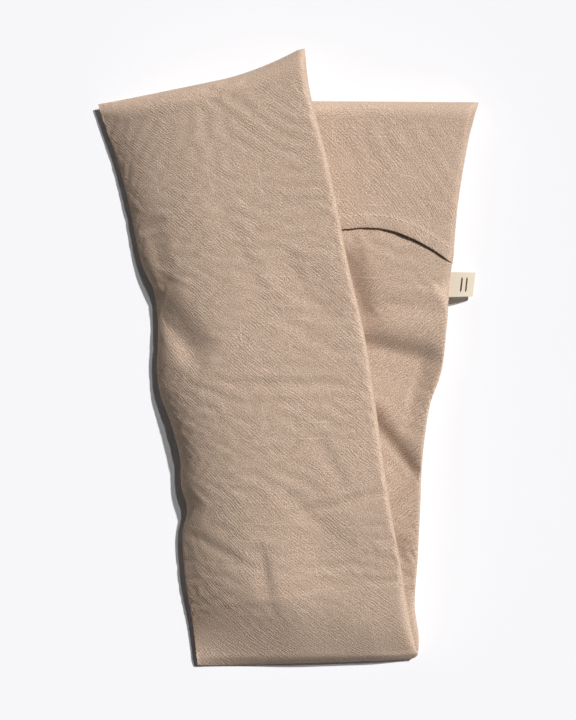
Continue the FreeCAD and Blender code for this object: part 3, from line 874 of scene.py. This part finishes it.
for stretch, ring in (("lower", SEAM_RING), ("upper", -1 - SEAM_RING)):
    path = (fine_front[ring, SEAM_END:-SEAM_END] + fine_back[ring, SEAM_END:-SEAM_END]) / 2
    seam = rods_piece(f"end_seam_{stretch}_thread",
                      [rod(path, np.tile((0, 0, 1.0), (len(path), 1)), *END_THREAD)])
    dressed(seam, THREAD)
    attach(seam, "lower_half" if stretch == "lower" else "upper_half")
    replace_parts(seam, f"end_seam_{stretch}")

# ---------------------------------------------------------------------------------------
# Envelope closure: the flap over the back panel's hem
# ---------------------------------------------------------------------------------------

# The flap's hem: (distance across the lower half, distance from the fold)
HEM = curve([(-50, 214), (-30, 218), (-7.5, 221.8), (2, 223.8), (12, 224.5), (23, 223.0),
             (33, 219.6), (41, 215.9), (50, 210.6)])
HINGE_DISTANCE = 256
HEM_WIDTH = 6.0
FLAP_THICK = 0.6
# The part that lifts lies between these two lines; beside them it bends down over these widths
LIP_LEFT, LIP_RIGHT = 2.0, 31.5
LEFT_SECTOR, RIGHT_SECTOR = 10.0, 13.8
# The hem gapes most at this distance across, by this much
GAPE_AT, GAPE, GAPE_WIDTH = 26, 0.5, 9.0


def on_back(distance, lateral):
    """A point of the lower half's top face, the way that it faces, and its place across."""
    left, right = LOWER_LEFT(distance), LOWER_RIGHT(distance)
    q = np.clip(2 * (lateral - left) / (right - left) - 1, -1, 1)
    row = np.interp(LOWER_LENGTH - distance, fine_strip, np.arange(len(fine_strip)))
    column = np.interp(q, fine_across, np.arange(len(fine_across)))
    r = np.clip(row.astype(int), 0, len(fine_strip) - 2)
    c = np.clip(column.astype(int), 0, len(fine_across) - 2)
    a, b = (row - r)[..., None], (column - c)[..., None]

    def between(values):
        return ((1 - a) * ((1 - b) * values[r, c] + b * values[r, c + 1])
                + a * ((1 - b) * values[r + 1, c] + b * values[r + 1, c + 1]))

    facing = between(back_normals)
    return between(fine_back), facing / np.linalg.norm(facing, axis=-1, keepdims=True), q


def flap_heights(distance, lateral, q):
    """How far the flap's two faces lie off the back panel."""
    from_hem = distance - HEM(lateral)
    lifted = GAPE * np.exp(-((lateral - GAPE_AT) / GAPE_WIDTH) ** 2) * (1 - smooth(from_hem / 14))
    inside = (1 - np.abs(q) ** 14) * smooth((LOWER_LENGTH - distance) / 4)
    under = (0.15 + lifted + 0.35 * smooth((MOUTH_DISTANCE + 4 - distance) / 10)) * inside
    doubled = 0.35 * (1 - smooth((from_hem - HEM_WIDTH) / 1.5))
    return under, under + (FLAP_THICK + doubled) * (0.25 + 0.75 * inside)


def flap_point(distance, lateral, top):
    """A point of the flap's top face or underside."""
    point, facing, q = on_back(distance, lateral)
    under, over = flap_heights(distance, lateral, q)
    return point + facing * (over if top else under)[..., None]


def flap_grid(first, last, columns):
    """Distances of a part of the flap between two lines that run along it."""
    share = np.linspace(0, 1, columns + 1)
    rows = np.concatenate([np.linspace(0, 0.12, 8)[:-1], np.linspace(0.12, 1, 34)])
    nominal = first(230.0) + (last(230.0) - first(230.0)) * share
    distance = HEM(nominal) + (LOWER_LENGTH - HEM(nominal)) * rows[:, None]
    lateral = first(distance) + (last(distance) - first(distance)) * share
    return distance, lateral


def flap_piece(name, first, last, columns):
    """A part of the flap, closed round its hem, and its points' distances across."""
    distance, lateral = flap_grid(first, last, columns)
    top = flap_point(distance, lateral, True)
    under = flap_point(distance, lateral, False)
    edge = (top[0] + under[0]) / 2
    away = edge - (top[3] + under[3]) / 2
    away /= np.linalg.norm(away, axis=1, keepdims=True)
    low, tip, high = (edge + away * 0.35 + (under[0] - edge) * 0.6, edge + away * 0.5,
                      edge + away * 0.35 + (top[0] - edge) * 0.6)
    over = np.concatenate([[low, tip, high], top])
    below = np.concatenate([[low, (2 * low + under[0]) / 3, (low + 2 * under[0]) / 3], under])
    weave = laid_flat(over, FLAP_LAYER)
    weave[..., 0] += np.mean(lateral)
    piece = closed_piece(f"{name}_cloth", over, below, weave)
    return dressed(piece, LINEN), lateral


def lift(piece, at):
    """The piece, with its placement baked into its mesh; the point of the flap at the given place is
    worked out but not used.
    """
    start = flap_point(np.array(at[0]), np.array(at[1]), True)
    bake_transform(piece)
    return piece


# Each part: its left and right lines, its columns, how it bends aside and from which line, and
# the CAD nodes of its cloth and of its stitches
FLAP_PARTS = {
    "envelope_flap": (LOWER_LEFT, lambda s: LIP_LEFT + 0 * s, 22, 1 / LEFT_SECTOR, LIP_LEFT,
                      "envelope_flap", "flap_hem_stitch"),
    "flap_lip": (lambda s: LIP_LEFT + 0 * s, lambda s: LIP_RIGHT + 0 * s, 16, 0.0, LIP_LEFT,
                 "flap_lip", "lip_hem_stitch"),
    "flap_right": (lambda s: LIP_RIGHT + 0 * s, LOWER_RIGHT, 12, -1 / RIGHT_SECTOR, LIP_RIGHT,
                   None, None),
}
STITCH_PITCH, STITCH_LENGTH = 2.7, 1.9
STITCH_THREAD, BACK_THREAD = (0.2, 0.2), (0.2, 0.1)


def hem_stitches(name, low, high):
    """Separate stitches in a row along the hem."""
    bars = []
    for lateral in np.arange(low + STITCH_PITCH / 2, high, STITCH_PITCH):
        sides = lateral + np.linspace(-0.5, 0.5, 5) * STITCH_LENGTH
        down = HEM(sides) + HEM_WIDTH
        path = flap_point(down, sides, True)
        facing = on_back(down, sides)[1]
        sunk = np.array([-0.12, 0.08, 0.14, 0.08, -0.12])
        bars.append(rod(path + facing * sunk[:, None], facing, *STITCH_THREAD))
    return dressed(rods_piece(name, bars), THREAD)


for name, (first, last, columns, aside, corner, node, row_node) in FLAP_PARTS.items():
    piece, lateral = flap_piece(name, first, last, columns)
    row = hem_stitches(f"{name}_stitches", max(float(first(228.0)), -46), min(float(last(228.0)), 48))
    for each in (piece, row):
        lift(each, (HINGE_DISTANCE, corner))
    if node:
        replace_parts(piece, node)
        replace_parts(row, row_node)

BACK_ROW_REACH = 38
hem_path = [on_back(np.array(MOUTH_DISTANCE - HEM_WIDTH), np.array(x))
            for x in np.linspace(-BACK_ROW_REACH, BACK_ROW_REACH, 39)]
back_row = rods_piece("back_hem_thread",
                      [rod([point + BACK_THREAD[1] * facing for point, facing, _ in hem_path],
                           [facing for _, facing, _ in hem_path], *BACK_THREAD)])
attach(dressed(back_row, THREAD), "lower_half")
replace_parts(back_row, "back_hem_stitch")

# ---------------------------------------------------------------------------------------
# Side label: a ribbon folded in two, caught in the lower half's right seam
# ---------------------------------------------------------------------------------------

LABEL_LENGTH, LABEL_ROOT = 13.4, 0.8
LABEL_THICK, LABEL_PLY = 1.1, 0.35
LABEL_DROOP, LABEL_TAPER = 4.6, 0.04
# The mark: two bars across the label, at these distances from the seam, with these half sizes
MARK_PLACES = 6.4, 9.0
MARK_BAR = 0.58, 0.09


def label_ring(t):
    """The ribbon's outline seen from its side: out along the top, round its fold, and back."""
    reach = LABEL_LENGTH - LABEL_THICK / 2
    straight = np.linspace(-LABEL_ROOT, reach, 12)
    turn = np.linspace(-math.pi / 2, math.pi / 2, 9)[1:-1]
    out = LABEL_THICK / 2 - LABEL_PLY * t
    top = [(x, out) for x in straight]
    bend = [(reach + out * math.cos(a), -out * math.sin(a)) for a in turn]
    return np.array(top + bend + [(x, -out) for x in straight[::-1]])


label_seat = place_of("label_flick")
label_out = np.array([1.0, 0.02, 0.0])
label_along = np.append(rotate(LOWER_LEAN + 90), 0)


def label_place(x, z, y):
    """A place of the label: out from the seam, up, and along the seam."""
    droop = -LABEL_DROOP * np.clip(x / LABEL_LENGTH, 0, 1) ** 2
    taper = 1 - LABEL_TAPER * np.clip(x / LABEL_LENGTH, 0, 1)
    return label_seat + x * label_out + y * taper * label_along + (z + droop) * np.array([0, 0, 1.0])


label_rows = []
for t in (0.0, 1.0):
    outline = label_ring(t)
    widths = np.linspace(-0.5, 0.5, 9) * LABEL_WIDTH
    label_rows.append(np.array([[label_place(x, z, y) for y in widths] for x, z in outline]))
outer, inner_face = label_rows
label_weave = np.dstack([np.broadcast_to(np.linspace(0, LABEL_WIDTH, 9), outer.shape[:2]),
                         np.broadcast_to(np.arange(len(outer))[:, None] * 1.2, outer.shape[:2]),
                         np.zeros(outer.shape[:2])])
label = dressed(closed_piece("side_label_ribbon", outer[:, ::-1], inner_face[:, ::-1],
                             label_weave), RIBBON)
mark_bars = []
for x in MARK_PLACES:
    ys = np.linspace(-0.3, 0.3, 9) * LABEL_WIDTH
    path = [label_place(x, LABEL_THICK / 2 + 0.03, y) for y in ys]
    mark_bars.append(rod(path, np.tile((0, 0, 1.0), (9, 1)), *MARK_BAR))
mark = dressed(rods_piece("label_mark", mark_bars), MARK)
for piece in (label, mark):
    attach(piece, "side_label")
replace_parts(label, "side_label")

# ---------------------------------------------------------------------------------------
# Floor, light and camera
# ---------------------------------------------------------------------------------------

def sun(name, azimuth, elevation, strength, spread):
    """A far light of the given spread, in degrees, that shines from a direction."""
    data = bpy.data.lights.new(name, "SUN")
    data.energy, data.angle = strength, math.radians(spread)
    light = bpy.data.objects.new(name, data)
    a, e = math.radians(azimuth), math.radians(elevation)
    direction = Vector((math.cos(e) * math.cos(a), math.cos(e) * math.sin(a), math.sin(e)))
    light.rotation_euler = direction.to_track_quat("Z", "Y").to_euler()
    bpy.context.scene.collection.objects.link(light)


FLOOR_REACH = 20
floor_corners = [(x * FLOOR_REACH, y * FLOOR_REACH, 0)
                 for x, y in ((-1, -1), (1, -1), (1, 1), (-1, 1))]
floor_mesh = bpy.data.meshes.new("floor")
floor_mesh.from_pydata(floor_corners, [], [(0, 1, 2, 3)])
floor = bpy.data.objects.new("floor", floor_mesh)
bpy.context.scene.collection.objects.link(floor)
paper = bpy.data.materials.new("paper")
paper.use_nodes = True
paper.node_tree.nodes["Principled BSDF"].inputs["Base Color"].default_value = (0.9, 0.9, 0.92, 1)
paper.node_tree.nodes["Principled BSDF"].inputs["Roughness"].default_value = 0.9
floor_mesh.materials.append(paper)

world = bpy.data.worlds.new("studio")
world.use_nodes = True
world.node_tree.nodes["Background"].inputs["Color"].default_value = (1, 1, 1, 1)
world.node_tree.nodes["Background"].inputs["Strength"].default_value = 0.06
bpy.context.scene.world = world
sun("key", 40, 43, 3.6, 2.0)
sun("high", 40, 52, 0.75, 2.5)

# Straight above the pillow, as in the photograph
CAMERA_PLACE = -0.0005, -0.0002, 1.025
camera_data = bpy.data.cameras.new("camera")
camera_data.lens = 100
camera_data.sensor_width = 36
camera = bpy.data.objects.new("camera", camera_data)
camera.location = CAMERA_PLACE
bpy.context.scene.collection.objects.link(camera)
bpy.context.scene.camera = camera
bpy.context.scene.view_settings.view_transform = "Standard"
